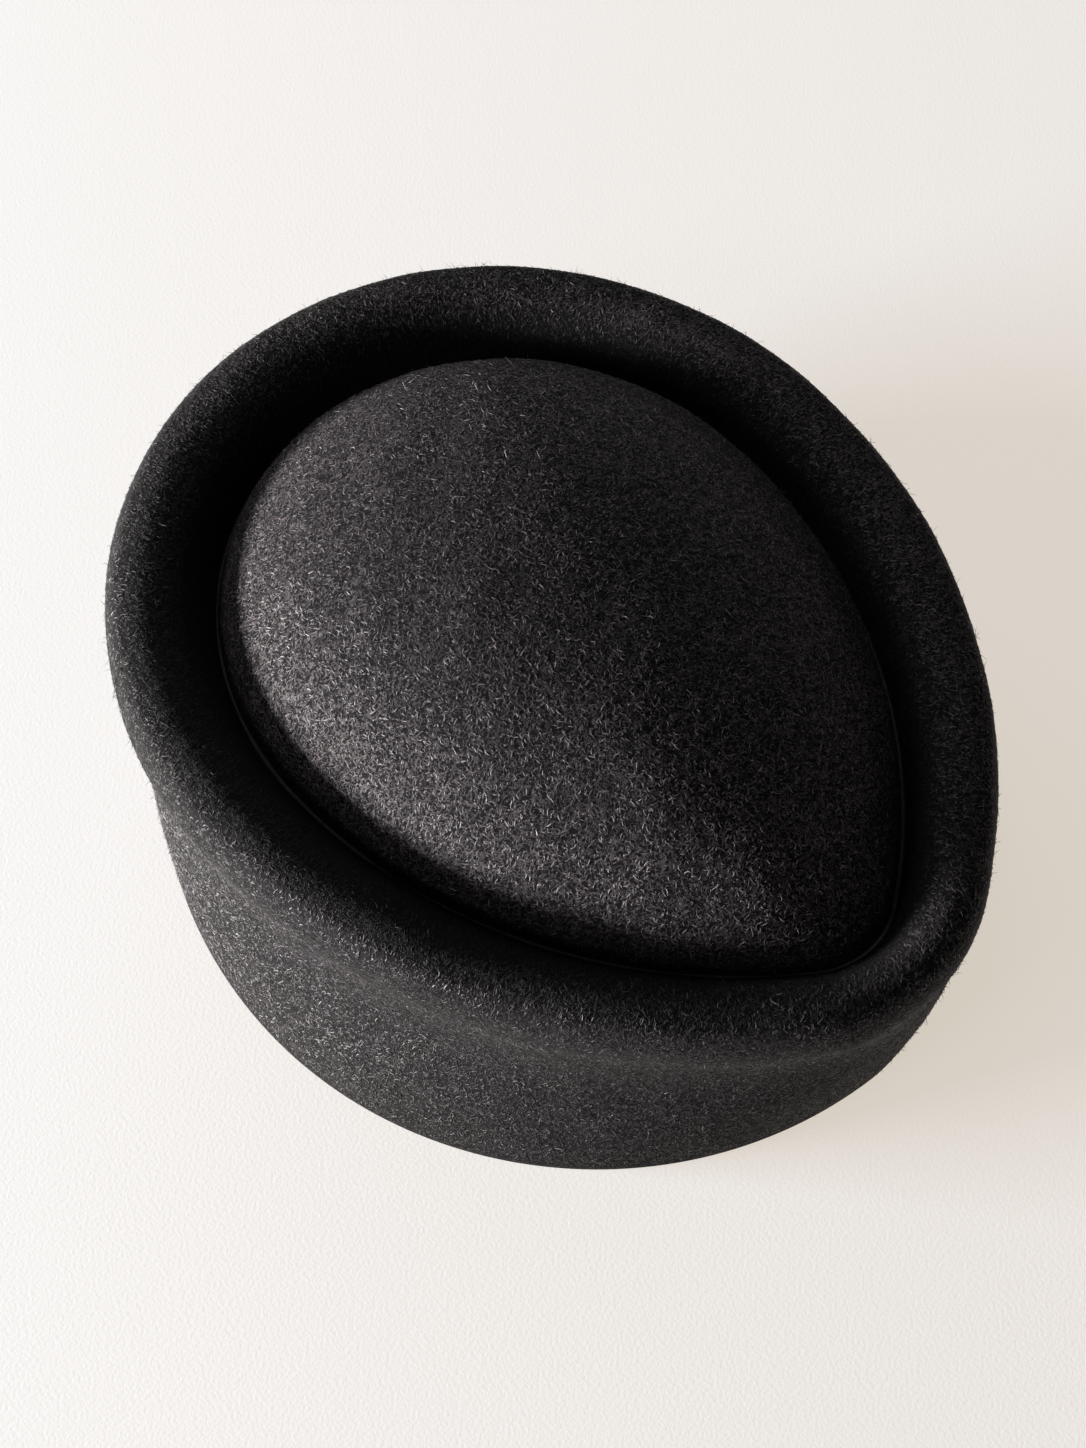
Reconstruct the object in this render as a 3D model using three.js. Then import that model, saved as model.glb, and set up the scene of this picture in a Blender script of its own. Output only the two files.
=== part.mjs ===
// Teardrop pillbox hat, blocked from a single hood of wool felt and open underneath.
// Millimetres, +Z up. The hat stands on its cut edge at z = 0, with the point of the teardrop towards -Y
// and the origin under the middle of its length.
import * as THREE from "three";

const FELT_THICKNESS = 2;

// The dome rises out of the groove, steeply at its foot, to a top that lies forward of the groove's middle.
const GROOVE_HEIGHT = 44.2;
const DOME_RISE = 27.6;
const DOME_FULLNESS = 2.2;
const DOME_STEEPNESS = 0.56;
const DOME_TOP_FORWARD = 14.6;
const DOME_TOP_ROUNDNESS = 0.85;

// Plan outlines. Each is widest at y = widest, with a half ellipse behind that line, and in front of it
// two flank arcs that meet in a round nose. back and point are the reaches from the widest line.
const OUTLINES = {
  edge: { halfWidth: 89.4, widest: -4.9, back: 95.1, point: 93.8, nose: 42.2 },
  rim: { halfWidth: 82.9, widest: 13.5, back: 88.9, point: 115.9, nose: 43.2 },
  groove: { halfWidth: 61.4, widest: 12.5, back: 66.4, point: 99.8, nose: 18.3 },
};

// The wall, from the cut edge up to the rim: toRim is the share of the way from the edge's outline to the
// rim's, and inset is how far the felt is drawn in from there. The neck is where the inset is largest.
const WALL = [
  { height: 0, toRim: 0, inset: 0 },
  { height: 9.5, toRim: 0.27, inset: 0.2 },
  { height: 19, toRim: 0.58, inset: 0.9 },
  { height: 28, toRim: 0.85, inset: 1.8 },
  { height: 37, toRim: 0.98, inset: 1.5 },
  { height: 46, toRim: 1, inset: 0.1 },
];

// The rounded rim, over its crown and down into the groove: toGroove is the share of the way inwards.
const RIM = [
  { toGroove: 0.01, height: 49.7 },
  { toGroove: 0.06, height: 52.9 },
  { toGroove: 0.13, height: 54.7 },
  { toGroove: 0.24, height: 55.5 },
  { toGroove: 0.38, height: 55.8 },
  { toGroove: 0.54, height: 55.3 },
  { toGroove: 0.7, height: 53.5 },
  { toGroove: 0.84, height: 49.8 },
  { toGroove: 0.94, height: 45.9 },
  { toGroove: 1, height: GROOVE_HEIGHT },
];

// Sizes of the dome's outline against the groove's, from its foot upwards.
const DOME_SIZES = [0.965, 0.9, 0.78, 0.6, 0.4, 0.2];

const COLUMNS = 68; // around the hat
const RINGS = 2 * (WALL.length + RIM.length + DOME_SIZES.length); // two for each step along the section

// The outline's point whose outward normal is turned by angle from the hat's point, through +X.
function outlinePoint({ halfWidth, widest, back, point, nose }, angle) {
  const across = Math.abs(Math.sin(angle));
  const along = -Math.cos(angle);
  const reach = point - nose;
  const flank = (reach ** 2 + halfWidth ** 2 - nose ** 2) / (2 * (halfWidth - nose));
  const noseTurn = Math.atan2(reach, flank - halfWidth);
  const turn = Math.atan2(-along, across);
  const place = new THREE.Vector2();
  if (turn <= 0) {
    const pull = Math.hypot(halfWidth * across, back * along);
    place.set((halfWidth ** 2 * across) / pull, (back ** 2 * along) / pull);
  } else if (turn < noseTurn) {
    place.set(halfWidth - flank + flank * across, flank * along);
  } else {
    place.set(nose * across, nose * along - reach);
  }
  return place.set(Math.sign(Math.sin(angle)) * place.x, place.y + widest);
}

// The groove's outline shrunk towards the dome's top, with a rounder nose the smaller it gets.
function domeOutline(size) {
  const { halfWidth, widest, back, point, nose } = OUTLINES.groove;
  const rounded = nose + (DOME_TOP_ROUNDNESS * halfWidth - nose) * (1 - size ** 2);
  return {
    halfWidth: halfWidth * size,
    widest: widest - DOME_TOP_FORWARD * (1 - size),
    back: back * size,
    point: point * size,
    nose: rounded * size,
  };
}

const domeHeight = (size) => GROOVE_HEIGHT + DOME_RISE * (1 - size ** DOME_FULLNESS) ** DOME_STEEPNESS;

const domeTop = new THREE.Vector3(0, OUTLINES.groove.widest - DOME_TOP_FORWARD, domeHeight(0));

// The felt's outer surface in the section at one angle, as a smooth curve from the cut edge to the dome's top.
function sectionCurve(angle) {
  const outward = new THREE.Vector2(Math.sin(angle), -Math.cos(angle));
  const edge = outlinePoint(OUTLINES.edge, angle);
  const rim = outlinePoint(OUTLINES.rim, angle);
  const groove = outlinePoint(OUTLINES.groove, angle);
  const raised = (place, height) => new THREE.Vector3(place.x, place.y, height);

  const wallPoints = WALL.map(({ height, toRim, inset }) =>
    raised(edge.clone().lerp(rim, toRim).addScaledVector(outward, -inset), height),
  );
  const rimPoints = RIM.map(({ toGroove, height }) => raised(rim.clone().lerp(groove, toGroove), height));
  const domePoints = DOME_SIZES.map((size) => raised(outlinePoint(domeOutline(size), angle), domeHeight(size)));

  return new THREE.CatmullRomCurve3([...wallPoints, ...rimPoints, ...domePoints, domeTop], false, "centripetal");
}

// Outer surface as rings of points, each ring running once around the hat.
function outerRings() {
  const curves = Array.from({ length: COLUMNS }, (_, column) => sectionCurve((2 * Math.PI * column) / COLUMNS));
  return Array.from({ length: RINGS }, (_, ring) => curves.map((curve) => curve.getPoint(ring / RINGS)));
}

// Inner surface: each outer point moved in by the felt's thickness, with the cut edge kept flat on z = 0.
function innerRings(outer) {
  return outer.map((points, ring) =>
    points.map((place, column) => {
      const before = points[(column + COLUMNS - 1) % COLUMNS];
      const after = points[(column + 1) % COLUMNS];
      const below = outer[Math.max(ring - 1, 0)][column];
      const above = ring + 1 < RINGS ? outer[ring + 1][column] : domeTop;
      const around = new THREE.Vector3().subVectors(after, before);
      const upward = new THREE.Vector3().subVectors(above, below);
      const normal = around.cross(upward);
      if (ring === 0) normal.z = 0;
      return place.clone().addScaledVector(normal.normalize(), -FELT_THICKNESS);
    }),
  );
}

// One closed shell: the outer skin up to the dome's top, the inner skin back down, and the cut edge between them.
function feltShell() {
  const outer = outerRings();
  const inner = innerRings(outer);
  const innerTop = domeTop.clone().setZ(domeTop.z - FELT_THICKNESS);
  const rings = [...inner.slice().reverse(), ...outer];
  const points = [...rings.flat(), innerTop, domeTop];
  const innerTopIndex = points.length - 2;
  const outerTopIndex = points.length - 1;
  const triangles = [];
  for (let column = 0; column < COLUMNS; column += 1) {
    const next = (column + 1) % COLUMNS;
    for (let ring = 0; ring + 1 < rings.length; ring += 1) {
      const [a, b] = [ring * COLUMNS + column, ring * COLUMNS + next];
      const [c, d] = [b + COLUMNS, a + COLUMNS];
      // The diagonals lean the same way on both sides of the hat's middle line.
      if (column < COLUMNS / 2) triangles.push(a, b, c, a, c, d);
      else triangles.push(a, b, d, b, c, d);
    }
    const lastRing = (rings.length - 1) * COLUMNS;
    triangles.push(next, column, innerTopIndex, lastRing + column, lastRing + next, outerTopIndex);
  }
  const shell = new THREE.BufferGeometry().setFromPoints(points);
  shell.setIndex(triangles);
  shell.computeVertexNormals();
  return shell;
}

const felt = new THREE.MeshStandardMaterial({ color: 0x2a292b, roughness: 0.95, metalness: 0 });
const feltBody = new THREE.Mesh(feltShell(), felt);
feltBody.name = "felt_body";

const hat = new THREE.Group();
hat.add(feltBody);

export default hat;
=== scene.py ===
import math

import bpy
import numpy as np
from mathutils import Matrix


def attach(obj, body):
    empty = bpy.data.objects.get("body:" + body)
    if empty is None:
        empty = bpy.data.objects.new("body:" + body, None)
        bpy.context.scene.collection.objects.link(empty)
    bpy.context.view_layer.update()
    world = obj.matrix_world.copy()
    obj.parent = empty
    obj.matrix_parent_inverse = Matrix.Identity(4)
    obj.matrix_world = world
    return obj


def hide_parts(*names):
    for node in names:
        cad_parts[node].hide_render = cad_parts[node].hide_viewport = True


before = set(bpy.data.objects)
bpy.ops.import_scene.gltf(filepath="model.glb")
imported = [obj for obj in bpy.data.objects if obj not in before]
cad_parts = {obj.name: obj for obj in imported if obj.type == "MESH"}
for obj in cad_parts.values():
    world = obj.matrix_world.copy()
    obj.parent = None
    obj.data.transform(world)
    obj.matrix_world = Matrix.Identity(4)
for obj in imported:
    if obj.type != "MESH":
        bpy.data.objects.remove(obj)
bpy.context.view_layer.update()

# The felt body: one hood of charcoal wool felt, wetted, pulled over a wooden block and dried on it.
# Wall, rounded rim, groove and teardrop dome are one unbroken skin that stands on its cut edge, with the
# point of the teardrop towards -Y. Sizes are in millimetres.
MILLIMETRE = 0.001
FELT_THICKNESS = 2.0
GROOVE_HEIGHT = 44.2
DOME_RISE = 27.6
DOME_FULLNESS = 2.2
DOME_STEEPNESS = 0.56
DOME_TOP_FORWARD = 14.6
DOME_TOP_ROUNDNESS = 0.85
OUTLINES = {
    "edge": dict(half_width=89.4, widest=-4.9, back=95.1, point=93.8, nose=42.2),
    "rim": dict(half_width=82.9, widest=13.5, back=88.9, point=115.9, nose=43.2),
    "groove": dict(half_width=61.4, widest=12.5, back=66.4, point=99.8, nose=18.3),
}
# height, share of the way from the edge's outline to the rim's, inset from there
WALL = [(0, 0, 0), (9.5, 0.27, 0.2), (19, 0.58, 0.9), (28, 0.85, 1.8), (37, 0.98, 1.5), (46, 1, 0.1)]
# share of the way from the rim's outline in to the groove's, height
RIM = [
    (0.01, 49.7), (0.06, 52.9), (0.13, 54.7), (0.24, 55.5), (0.38, 55.8),
    (0.54, 55.3), (0.7, 53.5), (0.84, 49.8), (0.94, 45.9), (1, GROOVE_HEIGHT),
]
# sizes of the dome's outline against the groove's, from its foot upwards
DOME_SIZES = [0.965, 0.9, 0.78, 0.6, 0.4, 0.2]

COLUMNS = 240
RING_SPACING = 1.3
CREASE_RING_SPACING = 0.16
FEWEST_RINGS = 2
SMALLEST_GAP = 1e-6
INNER_RING_STRIDE = 4


def outline_points(angle, half_width, widest, back, point, nose):
    """Points of a plan outline whose outward normals are turned by angle from the hat's point, through +X."""
    across, along = np.abs(np.sin(angle)), -np.cos(angle)
    reach = point - nose
    flank = (reach**2 + half_width**2 - nose**2) / (2 * (half_width - nose))
    nose_turn = math.atan2(reach, flank - half_width)
    turn = np.arctan2(-along, across)
    pull = np.hypot(half_width * across, back * along)
    parts = [turn <= 0, turn < nose_turn]
    x = np.select(parts, [half_width**2 * across / pull, half_width - flank + flank * across], nose * across)
    y = np.select(parts, [back**2 * along / pull, flank * along], nose * along - reach)
    return np.stack([np.sign(np.sin(angle)) * x, y + widest], axis=-1)


def raised(plan, height):
    return np.column_stack([plan, np.full(len(plan), height)])


def section_rows(angle):
    """Rows of points round the hat, from the cut edge over the rim and into the groove to the dome's top."""
    edge, rim, groove = (outline_points(angle, **OUTLINES[name]) for name in ("edge", "rim", "groove"))
    outward = np.stack([np.sin(angle), -np.cos(angle)], axis=-1)
    rows = [raised(edge + (rim - edge) * share - outward * inset, height) for height, share, inset in WALL]
    rows += [raised(rim + (groove - rim) * share, height) for share, height in RIM]
    line = OUTLINES["groove"]
    for size in DOME_SIZES:
        rounded = line["nose"] + (DOME_TOP_ROUNDNESS * line["half_width"] - line["nose"]) * (1 - size**2)
        plan = outline_points(
            angle,
            half_width=line["half_width"] * size,
            widest=line["widest"] - DOME_TOP_FORWARD * (1 - size),
            back=line["back"] * size,
            point=line["point"] * size,
            nose=rounded * size,
        )
        rows.append(raised(plan, GROOVE_HEIGHT + DOME_RISE * (1 - size**DOME_FULLNESS) ** DOME_STEEPNESS))
    top = np.array([0.0, line["widest"] - DOME_TOP_FORWARD, GROOVE_HEIGHT + DOME_RISE])
    rows.append(np.tile(top, (len(angle), 1)))
    return np.array(rows)


def root_gap(start, end):
    """Square root of the distance between two rows, column by column."""
    return np.sqrt(np.maximum(np.linalg.norm(end - start, axis=1), SMALLEST_GAP))[:, None]


def smooth_rings(rows, spacings):
    """Rings along the smooth curve through the rows, and the index of the ring at each row."""
    extended = np.concatenate([[2 * rows[0] - rows[1]], rows, [2 * rows[-1] - rows[-2]]])
    rings, ring_at_row = [], [0]
    for step, spacing in enumerate(spacings):
        before, start, end, after = extended[step : step + 4]
        gap_in, gap, gap_out = root_gap(before, start), root_gap(start, end), root_gap(end, after)
        leave = end - start + gap * ((start - before) / gap_in - (end - before) / (gap_in + gap))
        arrive = end - start + gap * ((after - end) / gap_out - (after - start) / (gap + gap_out))
        pieces = max(FEWEST_RINGS, math.ceil(np.linalg.norm(end - start, axis=1).max() / spacing))
        for t in np.arange(pieces) / pieces:
            rings.append(
                (2 * t**3 - 3 * t**2 + 1) * start
                + (t**3 - 2 * t**2 + t) * leave
                + (3 * t**2 - 2 * t**3) * end
                + (t**3 - t**2) * arrive
            )
        ring_at_row.append(len(rings))
    return np.array(rings), ring_at_row


def unit(vectors):
    return vectors / np.linalg.norm(vectors, axis=-1, keepdims=True)


def skin_normals(rings, top):
    above = np.concatenate([rings[1:], np.tile(top, (1, rings.shape[1], 1))])
    below = np.concatenate([rings[:1], rings[:-1]])
    around = np.roll(rings, -1, axis=1) - np.roll(rings, 1, axis=1)
    return unit(np.cross(around, above - below))


def felt_object(name, points, triangles, materials, tones=0, smooth=True):
    """An object from arrays of points, in millimetres, triangles, and each triangle's material."""
    mesh = bpy.data.meshes.new(name)
    mesh.vertices.add(len(points))
    mesh.vertices.foreach_set("co", (np.asarray(points) * MILLIMETRE).astype(np.float32).ravel())
    mesh.loops.add(3 * len(triangles))
    mesh.loops.foreach_set("vertex_index", np.asarray(triangles, np.int32).ravel())
    mesh.polygons.add(len(triangles))
    mesh.polygons.foreach_set("loop_start", np.arange(0, 3 * len(triangles), 3, dtype=np.int32))
    mesh.polygons.foreach_set("use_smooth", np.full(len(triangles), smooth))
    for material in materials:
        mesh.materials.append(material)
    mesh.polygons.foreach_set("material_index", np.broadcast_to(tones, len(triangles)).astype(np.int32))
    mesh.update()
    piece = bpy.data.objects.new(name, mesh)
    bpy.context.scene.collection.objects.link(piece)
    return piece


column_angles = np.linspace(0, 2 * math.pi, COLUMNS, endpoint=False)
section = section_rows(column_angles)
groove_row = len(WALL) + len(RIM) - 1
spacings = [RING_SPACING] * (len(section) - 1)
spacings[groove_row - 1 : groove_row + 1] = [CREASE_RING_SPACING] * 2
skin, row_rings = smooth_rings(section, spacings)
dome_top = section[-1, 0]
normals = skin_normals(skin, dome_top)

# Blocking by hand leaves the felt a little uneven above its edge, and the fold at the dome's foot stands up
# as a thin bead.
UNEVENNESS = 0.12
UNEVEN_WAVES = 28
UNEVEN_LENGTHS = (14.0, 60.0)
UNEVEN_SEED = 11
EVEN_EDGE_HEIGHT = 6.0
CREASE_BEAD_HEIGHT = 0.28
CREASE_BEAD_HALF_WIDTH = 0.3
UPWARDS = np.array([0, 0, 1])
blocking_hand = np.random.default_rng(UNEVEN_SEED)
wave_way = unit(blocking_hand.normal(size=(UNEVEN_WAVES, 3)))
wave_length = blocking_hand.uniform(*UNEVEN_LENGTHS, UNEVEN_WAVES)
wave_start = blocking_hand.uniform(0, 2 * math.pi, UNEVEN_WAVES)
swell = np.sin(skin @ (wave_way * (2 * math.pi / wave_length)[:, None]).T + wave_start).mean(axis=2)
swell *= UNEVENNESS * math.sqrt(UNEVEN_WAVES)
along_section = np.cumsum(np.linalg.norm(np.diff(skin, axis=0, prepend=skin[:1]), axis=2), axis=0)
from_crease = along_section - along_section[row_rings[groove_row]]
bead = CREASE_BEAD_HEIGHT * np.exp(-((from_crease / CREASE_BEAD_HALF_WIDTH) ** 2))
above_edge = np.clip(skin[:, :, 2] / EVEN_EDGE_HEIGHT, 0, 1)
skin = skin + normals * (swell * above_edge)[:, :, None] + bead[:, :, None] * UPWARDS
normals = skin_normals(skin, dome_top)

# Painted light and shade: the felt's paleness is painted row by row, darker over the rim, its slope into
# the groove and the dome's foot, where shade falls, paler where light falls, and not the same on the left
# and the right of the hat. Row of the section, how pale it is painted there on the left of the hat, and how
# pale on the right. The lines are the wall, the rim, its slope into the groove, and the dome.
PAINTED_LIGHT_AND_SHADE = [
    (0, 0.37, 0.38), (5, 0.37, 0.38),
    (7, 0.32, 0.5), (8, 0.22, 0.6), (9, 0.11, 0.75), (10, 0.05, 0.88), (11, 0.04, 0.75),
    (12, 0.04, 0.28), (13, 0.04, 0.05), (14, 0.05, 0.05), (15, 0.15, 0.15),
    (16, 0.8, 0.7), (17, 1, 0.9), (18, 0.97, 0.95), (19, 0.76, 0.84), (20, 0.62, 0.72), (22, 0.6, 0.6),
]
RIGHT_SIDE = math.radians(100)
INSIDE_PAINTED_SHADE = 0.6
painted_row, *painted_sides = zip(*PAINTED_LIGHT_AND_SHADE)
painted_ring = [row_rings[row] for row in painted_row]
left_pale, right_pale = (np.interp(np.arange(len(skin)), painted_ring, pale) for pale in painted_sides)
to_right = (1 + np.cos(column_angles - RIGHT_SIDE)) / 2
painted_shade_skin = left_pale[:, None] * (1 - to_right) + right_pale[:, None] * to_right

# The inner skin lies one thickness under the outer one, and the flat cut edge joins them.
inner_at = np.unique(np.append(np.arange(0, len(skin), INNER_RING_STRIDE), len(skin) - 1))
outwards = normals[inner_at].copy()
outwards[0, :, 2] = 0
inner_skin = skin[inner_at] - unit(outwards) * FELT_THICKNESS
inner_dome_top = dome_top - UPWARDS * FELT_THICKNESS
body_rings = np.concatenate([inner_skin[::-1], skin])
body_points = np.concatenate([body_rings.reshape(-1, 3), [inner_dome_top, dome_top]])
inner_top, outer_top = len(body_points) - 2, len(body_points) - 1
column = np.arange(COLUMNS)
next_column = (column + 1) % COLUMNS
ring_starts = np.arange(len(body_rings) - 1)[:, None] * COLUMNS
low, low_next = ring_starts + column, ring_starts + next_column
high, high_next = low + COLUMNS, low_next + COLUMNS
last_ring = (len(body_rings) - 1) * COLUMNS
body_triangles = np.concatenate([
    np.stack([low, low_next, high_next], axis=-1).reshape(-1, 3),
    np.stack([low, high_next, high], axis=-1).reshape(-1, 3),
    np.stack([next_column, column, np.full(COLUMNS, inner_top)], axis=-1),
    np.stack([last_ring + column, last_ring + next_column, np.full(COLUMNS, outer_top)], axis=-1),
])


class Signal:
    """A socket in a material's node tree. Arithmetic on it adds Math nodes."""

    def __init__(self, tree, socket=None):
        self.tree, self.socket = tree, socket

    def node(self, kind, settings=None, values=None, output=0):
        added = self.tree.nodes.new(kind)
        for name, value in (settings or {}).items():
            setattr(added, name, value)
        for name, value in (values or {}).items():
            if isinstance(value, Signal):
                self.tree.links.new(value.socket, added.inputs[name])
            else:
                added.inputs[name].default_value = value
        return Signal(self.tree, added.outputs[output])

    def maths(self, operation, first, second=0.0, clamped=False):
        settings = {"operation": operation, "use_clamp": clamped}
        return self.node("ShaderNodeMath", settings, {0: first, 1: second})

    def __add__(self, other):
        return self.maths("ADD", self, other)

    def __sub__(self, other):
        return self.maths("SUBTRACT", self, other)

    def __rsub__(self, other):
        return self.maths("SUBTRACT", other, self)

    def __mul__(self, other):
        return self.maths("MULTIPLY", self, other)

    def __abs__(self):
        return self.maths("ABSOLUTE", self)

    __radd__, __rmul__ = __add__, __mul__


# Fibres matted into the surface wind over it in two sizes and lie thicker in clumps. They are paler and
# glossier than the felt between them; how much of their pale colour shows follows the painted light and
# shade, and the crease's bead is painted pale as a painted highlight.
FELT_BETWEEN = (0.0035, 0.0031, 0.0033, 1)
FELT_FIBRES = (0.1, 0.085, 0.092, 1)
FELT_CREASE_HIGHLIGHT = (0.12, 0.105, 0.112, 1)
WIDE_CURLS = dict(size=1.7, thinness=26, distortion=0.9)
FINE_CURLS = dict(size=1.1, thinness=20, distortion=0.6)
FINE_CURL_SHARE = 0.85
CURL_DETAIL = 1.0
NOISE_MIDDLE = 0.5
CLUMP_SIZE = 5.0
CLUMP_DETAIL = 3.0
FIBRES_IN_CLUMPS = 0.9
FIBRES_BETWEEN_CLUMPS = 0.3
RELIEF_DEPTH = 0.22
CURL_RELIEF = 0.6
RELIEF_PALENESS_OFFSET = 1.25
FELT_ROUGHNESS = 0.87
FIBRE_GLOSS = 0.37

charcoal_felt = bpy.data.materials.new("charcoal_felt")
charcoal_felt.use_nodes = True
felt_shader = charcoal_felt.node_tree.nodes["Principled BSDF"]
felt_shader.inputs["Specular IOR Level"].default_value = 0.14
felt_shader.inputs["Sheen Weight"].default_value = 0.006
felt_shader.inputs["Sheen Roughness"].default_value = 0.45
felt_shader.inputs["Sheen Tint"].default_value = (0.9, 0.88, 0.88, 1)
felt_tree = Signal(charcoal_felt.node_tree)
felt_place = felt_tree.node("ShaderNodeTexCoord", output="Object")


def felt_noise(size, detail, distortion=0.0):
    """Noise with features of about this size, in millimetres."""
    scale = 1 / (size * MILLIMETRE)
    values = {"Vector": felt_place, "Scale": scale, "Detail": detail, "Distortion": distortion}
    return felt_tree.node("ShaderNodeTexNoise", values=values, output="Fac")


def curled_lines(size, thinness, distortion):
    """Thin winding lines, 1 along their middles and 0 between them, like matted fibres."""
    off_line = abs(felt_noise(size, CURL_DETAIL, distortion) - NOISE_MIDDLE) * thinness
    return felt_tree.maths("SUBTRACT", 1, off_line, clamped=True)


def felt_mark(name):
    """A value that the felt's points carry."""
    return felt_tree.node("ShaderNodeAttribute", {"attribute_name": name}, output="Fac")


def covered(under, over, share):
    """The colour under, covered by this share of the colour over."""
    values = {"Factor": share, "A": under, "B": over}
    return felt_tree.node("ShaderNodeMix", {"data_type": "RGBA"}, values, output="Result")


matted = felt_tree.maths("MAXIMUM", curled_lines(**WIDE_CURLS), curled_lines(**FINE_CURLS) * FINE_CURL_SHARE)
clumps = felt_noise(CLUMP_SIZE, CLUMP_DETAIL)
painted_paleness = felt_mark("painted_paleness")
# The painted light and shade scales the share of pale fibre colour.
fibre_share = matted * (clumps * FIBRES_IN_CLUMPS + FIBRES_BETWEEN_CLUMPS) * painted_paleness
felt_colour = covered(FELT_BETWEEN, FELT_FIBRES, fibre_share)
# Painted highlight: the crease's bead is painted pale, as if it caught the light.
felt_colour = covered(felt_colour, FELT_CREASE_HIGHLIGHT, felt_mark("painted_crease_highlight"))
# The relief is deeper where the felt is painted darker.
felt_height = (matted * CURL_RELIEF + clumps) * (RELIEF_PALENESS_OFFSET - painted_paleness)
felt_relief = felt_tree.node(
    "ShaderNodeBump",
    values={"Strength": 1.0, "Distance": RELIEF_DEPTH * MILLIMETRE, "Height": felt_height},
    output="Normal",
)
felt_dullness = FELT_ROUGHNESS - matted * FIBRE_GLOSS
charcoal_felt.node_tree.links.new(felt_colour.socket, felt_shader.inputs["Base Color"])
charcoal_felt.node_tree.links.new(felt_dullness.socket, felt_shader.inputs["Roughness"])
charcoal_felt.node_tree.links.new(felt_relief.socket, felt_shader.inputs["Normal"])

felt_body = felt_object("felt_hood", body_points, body_triangles, [charcoal_felt])


def mark_felt(name, inside, outside):
    """Gives the felt's points a value, the same all over the inside and one for each point outside."""
    values = np.full(len(body_points), inside, np.float32)
    values[len(inner_skin) * COLUMNS : inner_top] = outside.ravel()
    felt_body.data.attributes.new(name, "FLOAT", "POINT").data.foreach_set("value", values)


# Painted highlight along the crease's bead, strongest on its ridge.
mark_felt("painted_crease_highlight", 0, bead / CREASE_BEAD_HEIGHT)
# The outer skin carries the painted light and shade of the table above, the inside one even value.
mark_felt("painted_paleness", INSIDE_PAINTED_SHADE, painted_shade_skin)
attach(felt_body, "root")
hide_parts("felt_body")

# The nap on the dome: loose ends of wool that steam and brushing have raised out of the felt. Short ends
# stand close together with longer, curled fibres among them. They lie every way, rooted in the skin.
WOOL_HUE = (1.0, 0.84, 0.915)
# Six tones of one wool; each fibre takes the nearest to its random tone times the painted light and shade.
WOOL_TONES = (0.012, 0.024, 0.048, 0.09, 0.16, 0.28)
WOOL_GLOSS_FOR_TONE = 12
WOOL_GLOSS_LIMIT = 0.55
NAP_TONE = 0.1
NAP_TONE_SPREAD = 0.45
SHORT_ENDS = dict(count=24000, bends=1, lengths=(0.6, 1.4), width=0.21, flatness=0.22, lift=0.12)
CURLED_ENDS = dict(count=4400, bends=2, lengths=(1.1, 2.0), width=0.22, flatness=0.3, lift=0.2)
ROOT_DEPTH = 0.06
FIBRE_CLEARANCE = 0.03
FIBRE_CURL = 1.7
FIBRE_SIDES = 3
RADIUS_FOR_WIDTH = (0.35, 0.6)
CREASE_CLEAR_RINGS = 8
ALL_ROUND = (0, COLUMNS)

wools = []
for tone in WOOL_TONES:
    wool = bpy.data.materials.new(f"wool_{tone}")
    wool.use_nodes = True
    wool_shader = wool.node_tree.nodes["Principled BSDF"]
    wool_shader.inputs["Base Color"].default_value = (*(tone * part for part in WOOL_HUE), 1)
    wool_shader.inputs["Roughness"].default_value = 0.52
    wool_shader.inputs["Specular IOR Level"].default_value = min(WOOL_GLOSS_LIMIT, WOOL_GLOSS_FOR_TONE * tone)
    wools.append(wool)


def nap_roots(hand, rings, columns, count):
    """Random roots in one field of the skin, the ways out of it and round the hat there, and its painted
    paleness.
    """
    ring, spot = np.arange(*rings)[:, None], np.arange(*columns)[None, :]
    next_spot = (spot + 1) % COLUMNS
    corners = [(ring, spot), (ring, next_spot), (ring + 1, next_spot), (ring + 1, spot)]
    near, far, far_up, near_up = (skin[corner] for corner in corners)
    areas = np.linalg.norm(np.cross(far_up - near, near_up - far), axis=2)
    field = hand.choice(areas.size, count, p=areas.ravel() / areas.sum())
    u, v = hand.random((2, count, 1))
    shares = [(1 - u) * (1 - v), u * (1 - v), u * v, (1 - u) * v]
    roots = sum(skin[corner].reshape(-1, 3)[field] * share for corner, share in zip(corners, shares))
    out = unit(sum(normals[corner].reshape(-1, 3)[field] * share for corner, share in zip(corners, shares)))
    around = (far - near).reshape(-1, 3)[field]
    around = unit(around - out * (around * out).sum(axis=1, keepdims=True))
    return roots, out, around, painted_shade_skin[ring, spot].ravel()[field]


def fibre_paths(hand, roots, out, around, bends, lengths, lift, lay):
    """Middle lines of the fibres: their roots under the skin, their bends and their free ends."""
    count = len(roots)
    upward = np.cross(out, around)
    heading = hand.uniform(0, 2 * math.pi, count) if lay is None else hand.normal(*lay, count)
    curl = hand.normal(0, FIBRE_CURL, count)
    step = hand.uniform(*lengths, count)[:, None] / (bends + 1)
    free = lift * hand.random(count)[:, None] ** 2
    path = [roots - out * ROOT_DEPTH]
    reached = roots
    for bend in range(1, bends + 2):
        share = bend / (bends + 1)
        angle = (heading + curl * (share - 0.5))[:, None]
        reached = reached + step * (np.cos(angle) * around + np.sin(angle) * upward)
        path.append(reached + out * (FIBRE_CLEARANCE + free * share**2))
    return path


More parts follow.
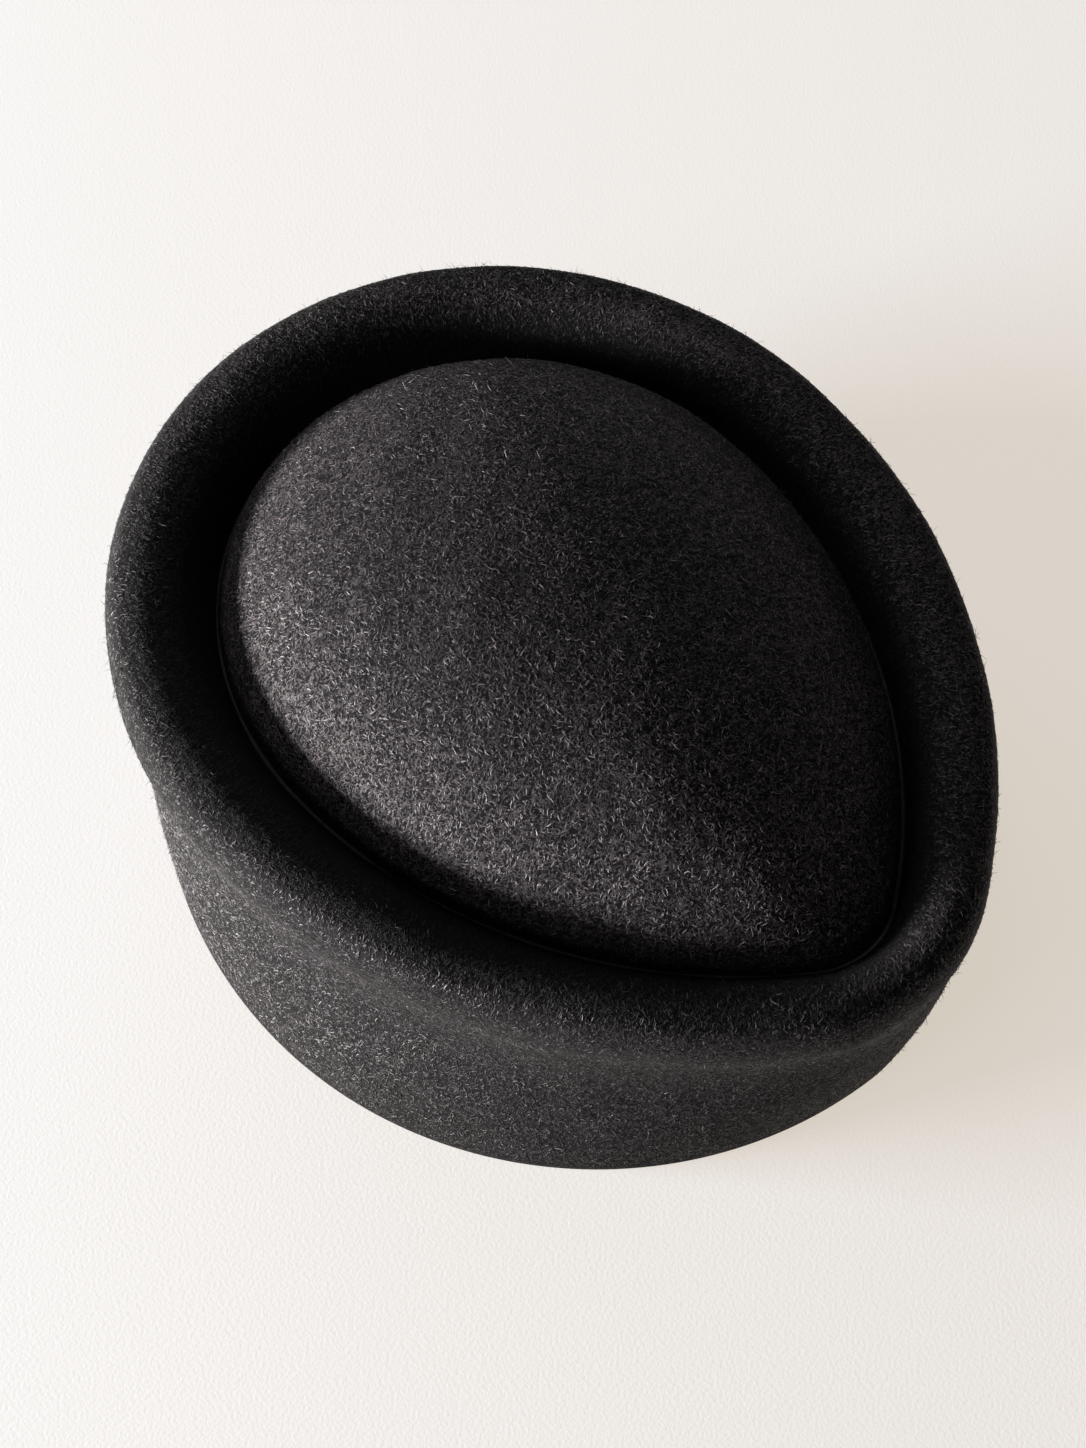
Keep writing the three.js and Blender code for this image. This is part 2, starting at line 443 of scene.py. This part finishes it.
def fibre_points(path, out, radius, flatness):
    """Points of each fibre: its root, three round each bend, and its free end."""
    points = [path[0]]
    for before, bend, beyond in zip(path, path[1:], path[2:]):
        along = unit(beyond - before)
        side = unit(np.cross(along, out))
        over = np.cross(side, along)
        for corner in range(FIBRE_SIDES):
            turn = 2 * math.pi * corner / FIBRE_SIDES
            points.append(bend + radius * (flatness * math.cos(turn) * over + math.sin(turn) * side))
    points.append(path[-1])
    return np.stack(points, axis=1)


def fibre_triangles(bends):
    """Triangles of one fibre, pointed at both ends, with a sleeve from bend to bend."""
    end = FIBRE_SIDES * bends + 1
    last_bend = end - FIBRE_SIDES
    triangles = []
    for corner in range(FIBRE_SIDES):
        following = (corner + 1) % FIBRE_SIDES
        triangles.append((0, 1 + following, 1 + corner))
        triangles.append((end, last_bend + corner, last_bend + following))
        for bend in range(1, last_bend, FIBRE_SIDES):
            next_bend = bend + FIBRE_SIDES
            triangles.append((bend + corner, bend + following, next_bend + following))
            triangles.append((bend + corner, next_bend + following, next_bend + corner))
    return np.array(triangles)


def nap(name, seed, rings, columns, count, bends, lengths, width, flatness, lift, lay=None, paleness=1):
    """One piece of bent fibres, rooted at random in one field of the skin.

    lay is the way they are combed, as an angle from the way round the hat, and its spread."""
    hand = np.random.default_rng(seed)
    roots, out, around, painted_paleness_at_root = nap_roots(hand, rings, columns, count)
    path = fibre_paths(hand, roots, out, around, bends, lengths, lift, lay)
    radius = width * hand.uniform(*RADIUS_FOR_WIDTH, count)[:, None]
    points = fibre_points(path, out, radius, flatness)
    fibre = fibre_triangles(bends)
    triangles = np.arange(count)[:, None, None] * points.shape[1] + fibre
    # Each fibre's tone is random, times the painted light and shade of the felt at its root.
    pale = NAP_TONE * paleness * painted_paleness_at_root * hand.lognormal(0, NAP_TONE_SPREAD, count)
    nearest_tone = np.abs(np.log(pale[:, None] / WOOL_TONES)).argmin(axis=1)
    tones = np.repeat(nearest_tone, len(fibre))
    piece = felt_object(name, points.reshape(-1, 3), triangles.reshape(-1, 3), wools, tones, smooth=False)
    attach(piece, "root")


dome_rings = (row_rings[groove_row] + CREASE_CLEAR_RINGS, len(skin) - 1)
nap("dome_short_nap", 1, dome_rings, ALL_ROUND, **SHORT_ENDS)
nap("dome_curled_nap", 2, dome_rings, ALL_ROUND, **CURLED_ENDS)

# The nap on the rim: the same loose ends of wool, over the rim's crown and down its slope into the groove.
# They are brushed one way, along the pull of the felt over the block and a little round the hat.
RIM_LAY = (1.25, 0.5)
rim_rings = (row_rings[len(WALL) - 1], row_rings[groove_row] - CREASE_CLEAR_RINGS)
nap("rim_short_nap", 3, rim_rings, ALL_ROUND, lay=RIM_LAY, **SHORT_ENDS)
nap("rim_curled_nap", 4, rim_rings, ALL_ROUND, lay=RIM_LAY, **CURLED_ENDS)

# The nap on the side wall: ends of wool that were left as they dried, so they stand off the felt more than
# on the dome and the rim. Their roots keep clear of the cut edge, where the felt was trimmed.
WALL_SHORT_ENDS = dict(SHORT_ENDS, lift=0.3)
WALL_CURLED_ENDS = dict(CURLED_ENDS, lift=0.45)
FOOT_CLEAR_RINGS = 2
# half of the wall, its columns, seeds of its short and curled ends
WALL_HALVES = [("left", (COLUMNS // 2, COLUMNS), 5, 7), ("right", (0, COLUMNS // 2), 6, 8)]
wall_rings = (FOOT_CLEAR_RINGS, row_rings[len(WALL) - 1])
for half, half_columns, short_seed, curled_seed in WALL_HALVES:
    nap(f"{half}_wall_short_nap", short_seed, wall_rings, half_columns, **WALL_SHORT_ENDS)
    nap(f"{half}_wall_curled_nap", curled_seed, wall_rings, half_columns, **WALL_CURLED_ENDS)

# Stray hairs: longer and thinner single hairs of wool that stand off the felt here and there, all over the
# hat. They work loose in wear and brushing, and stay rooted in the skin.
STRAY_HAIRS = dict(count=7000, bends=2, lengths=(1.2, 2.8), width=0.09, flatness=1, lift=1.6, paleness=0.4)
hair_rings = (2 * FOOT_CLEAR_RINGS, len(skin) - 1)
nap("stray_hairs", 9, hair_rings, ALL_ROUND, **STRAY_HAIRS)

# The paper floor: one wide sheet of heavy white paper with a faint tooth, laid flat. The hat stands loose on
# it. A weak warm glow of its own stands for the light that the room throws into the hat's shadow.
PAPER_HALF = 3.0  # metres
PAPER_CORNERS = [(-1, -1), (1, -1), (1, 1), (-1, 1)]
TOOTH_PER_METRE = 1300.0
TOOTH_DETAIL = 3.0
TOOTH_DEPTH = 0.05
TOOTH_STRENGTH = 0.8

paper = bpy.data.materials.new("white_paper")
paper.use_nodes = True
paper_shader = paper.node_tree.nodes["Principled BSDF"]
paper_shader.inputs["Base Color"].default_value = (0.385, 0.447, 0.54, 1)
paper_shader.inputs["Roughness"].default_value = 0.9
paper_shader.inputs["Specular IOR Level"].default_value = 0.1
paper_shader.inputs["Emission Color"].default_value = (1.0, 0.9, 0.78, 1)
paper_shader.inputs["Emission Strength"].default_value = 0.646
paper_tree = Signal(paper.node_tree)
paper_place = paper_tree.node("ShaderNodeTexCoord", output="Object")
tooth = paper_tree.node(
    "ShaderNodeTexNoise",
    values={"Vector": paper_place, "Scale": TOOTH_PER_METRE, "Detail": TOOTH_DETAIL},
    output="Fac",
)
paper_relief = paper_tree.node(
    "ShaderNodeBump",
    values={"Strength": TOOTH_STRENGTH, "Distance": TOOTH_DEPTH * MILLIMETRE, "Height": tooth},
    output="Normal",
)
paper.node_tree.links.new(paper_relief.socket, paper_shader.inputs["Normal"])
paper_mesh = bpy.data.meshes.new("paper")
paper_mesh.from_pydata([(PAPER_HALF * x, PAPER_HALF * y, 0) for x, y in PAPER_CORNERS], [], [(0, 1, 2, 3)])
paper_mesh.materials.append(paper)
paper_sheet = bpy.data.objects.new("paper", paper_mesh)
bpy.context.scene.collection.objects.link(paper_sheet)

# The light: a wide, low window at the left of the picture gives nearly all of it. A skylight higher up at
# the left front and a pale wall behind the hat add a little, and the room a weak light from all sides.
# Sizes and places are in metres, powers in watts, and all three face the hat.
LIGHTS = {
    "window": dict(size=(0.6, 0.18), power=82, place=(-1.069, 0.685, 0.1), colour=(1.0, 0.985, 0.96)),
    "skylight": dict(size=(0.5, 0.3), power=2.5, place=(-1.262, 0.124, 0.89), colour=(1.0, 1.0, 1.0)),
    "far_wall": dict(size=(1.2, 0.8), power=5.2, place=(0.39, 1.19, 0.5), colour=(1.0, 1.0, 1.0)),
}
for name, light in LIGHTS.items():
    lamp = bpy.data.lights.new(name, "AREA")
    lamp.shape = "RECTANGLE"
    lamp.size, lamp.size_y = light["size"]
    lamp.energy = light["power"]
    lamp.color = light["colour"]
    lit_place = bpy.data.objects.new(name, lamp)
    lit_place.location = light["place"]
    lit_place.rotation_euler = lit_place.location.to_track_quat("Z", "Y").to_euler()
    bpy.context.scene.collection.objects.link(lit_place)
room = bpy.data.worlds.new("room")
room.use_nodes = True
room.node_tree.nodes["Background"].inputs["Color"].default_value = (0.075, 0.074, 0.073, 1)
bpy.context.scene.world = room

# The camera: it stands under half a metre from the hat, to the left of the teardrop's point, and looks
# steeply down. Its place, turn and lens were fitted to the photograph's view of the hat.
CAMERA_PLACE = (-0.1542, -0.1670, 0.4347)  # metres
CAMERA_TILT = math.radians(28.42)
CAMERA_TURN = math.radians(-41.64)
camera = bpy.data.cameras.new("camera")
camera.sensor_width = 36
camera.lens = 54.7
camera.clip_start = 0.01
view = bpy.data.objects.new("camera", camera)
view.location = CAMERA_PLACE
view.rotation_euler = (CAMERA_TILT, 0, CAMERA_TURN)
bpy.context.scene.collection.objects.link(view)
bpy.context.scene.camera = view
bpy.context.scene.view_settings.view_transform = "Standard"
